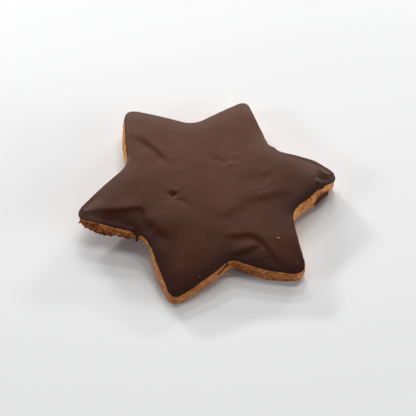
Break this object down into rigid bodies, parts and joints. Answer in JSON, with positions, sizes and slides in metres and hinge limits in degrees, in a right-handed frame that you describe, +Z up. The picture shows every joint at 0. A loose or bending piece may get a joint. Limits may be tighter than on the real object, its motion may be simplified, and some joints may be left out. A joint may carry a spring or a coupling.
{
  "type": "gingerbread star",
  "caption": "Star-shaped gingerbread biscuit with a smooth dark chocolate coat on top, baked a little warped so it rests on its tips.",
  "frame": {"origin": "on the surface the star rests on, under the middle of its box", "axes": "+Z up out of the chocolate top, +X towards the tip that stands to the right, -Y towards the front, where the bare biscuit side shows"},
  "size_m": [0.0976, 0.0944, 0.0119],
  "materials": {
    "gingerbread": "dry baked crumb, matt, with fine pores",
    "chocolate": "set dark chocolate, smooth satin"
  },
  "bodies": {
    "root": {"gingerbread_biscuit": "gingerbread", "chocolate_coat": "chocolate"}
  },
  "joints": []
}
